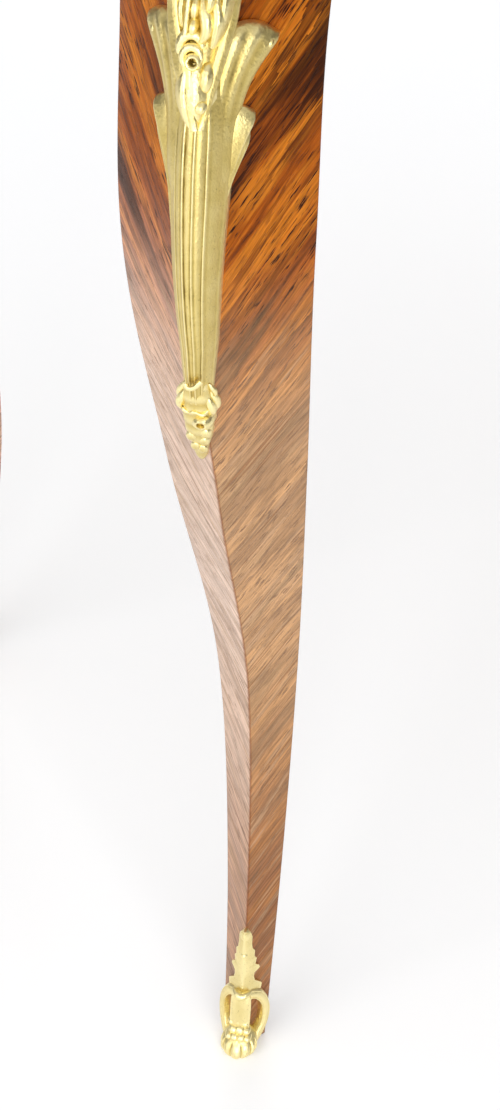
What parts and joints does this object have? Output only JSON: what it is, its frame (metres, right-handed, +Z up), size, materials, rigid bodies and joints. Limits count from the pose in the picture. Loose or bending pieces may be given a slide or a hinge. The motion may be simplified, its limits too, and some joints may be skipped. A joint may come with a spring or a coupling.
{
  "type": "card table",
  "caption": "Fold-over card table on cabriole legs with gilt bronze knee and foot mounts; its top turns over a card well and unfolds to a square baize playing surface.",
  "frame": {"origin": "on the floor under the middle of the closed table", "axes": "+X along the width to the right of someone who faces the front, +Y from the front to the back, +Z up"},
  "size_m": [0.972, 0.5072, 0.765],
  "materials": {
    "rosewood_veneer": "diagonal rosewood veneer under glossy french polish",
    "carcase_oak": "plain sawn oak",
    "gilt_bronze": "chased gilt bronze, burnished on the high places",
    "hinge_brass": "filed brass",
    "pivot_steel": "plain steel",
    "green_baize": "fulled wool cloth"
  },
  "bodies": {
    "frame": {"leg_front_left": "rosewood_veneer", "leg_front_right": "rosewood_veneer", "leg_back_left": "rosewood_veneer", "leg_back_right": "rosewood_veneer", "chute_front_left": "gilt_bronze", "chute_front_right": "gilt_bronze", "chute_back_left": "gilt_bronze", "chute_back_right": "gilt_bronze", "sabot_front_left": "gilt_bronze", "sabot_front_right": "gilt_bronze", "sabot_back_left": "gilt_bronze", "sabot_back_right": "gilt_bronze", "front_rail": "rosewood_veneer", "back_rail": "rosewood_veneer", "left_rail": "rosewood_veneer", "right_rail": "rosewood_veneer", "apron_shell": "gilt_bronze", "pivot_rail": "carcase_oak", "well_floor": "carcase_oak", "well_partition": "carcase_oak", "front_bearer": "carcase_oak", "back_bearer": "carcase_oak", "slide_strip_front": "green_baize", "slide_strip_back": "green_baize", "slide_strip_left": "green_baize", "slide_strip_right": "green_baize"},
    "lower_top": {"lower_leaf": "rosewood_veneer", "lower_baize": "green_baize", "lower_edge_moulding": "gilt_bronze", "lower_hinge_arm_left": "hinge_brass", "lower_hinge_arm_right": "hinge_brass", "lower_hinge_pin_left": "hinge_brass", "lower_hinge_pin_right": "hinge_brass", "pivot_plate": "hinge_brass", "pivot_bolt": "pivot_steel", "pivot_washer": "pivot_steel", "pivot_nut": "pivot_steel", "stop_peg": "carcase_oak"},
    "hinge_links": {"hinge_link_left": "hinge_brass", "hinge_link_right": "hinge_brass"},
    "upper_top": {"upper_leaf": "rosewood_veneer", "upper_baize": "green_baize", "upper_edge_moulding": "gilt_bronze", "upper_hinge_arm_left": "hinge_brass", "upper_hinge_arm_right": "hinge_brass", "upper_hinge_pin_left": "hinge_brass", "upper_hinge_pin_right": "hinge_brass"}
  },
  "joints": [
    {"name": "top_swivel", "type": "hinge", "parent": "frame", "child": "lower_top", "pos_m": [0.12, 0.12, 0.7304], "axis": [0, 0, 1], "range_deg": [0, 90]},
    {"name": "link_turn", "type": "hinge", "parent": "lower_top", "child": "hinge_links", "pos_m": [0, 0.235, 0.7427], "axis": [-1, 0, 0], "range_deg": [0, 90]},
    {"name": "leaf_fold", "type": "hinge", "parent": "hinge_links", "child": "upper_top", "pos_m": [0, 0.235, 0.7527], "axis": [-1, 0, 0], "range_deg": [0, 90]}
  ],
  "couplings": [
    {"joint": "leaf_fold", "follows": "link_turn", "ratio": 1}
  ]
}
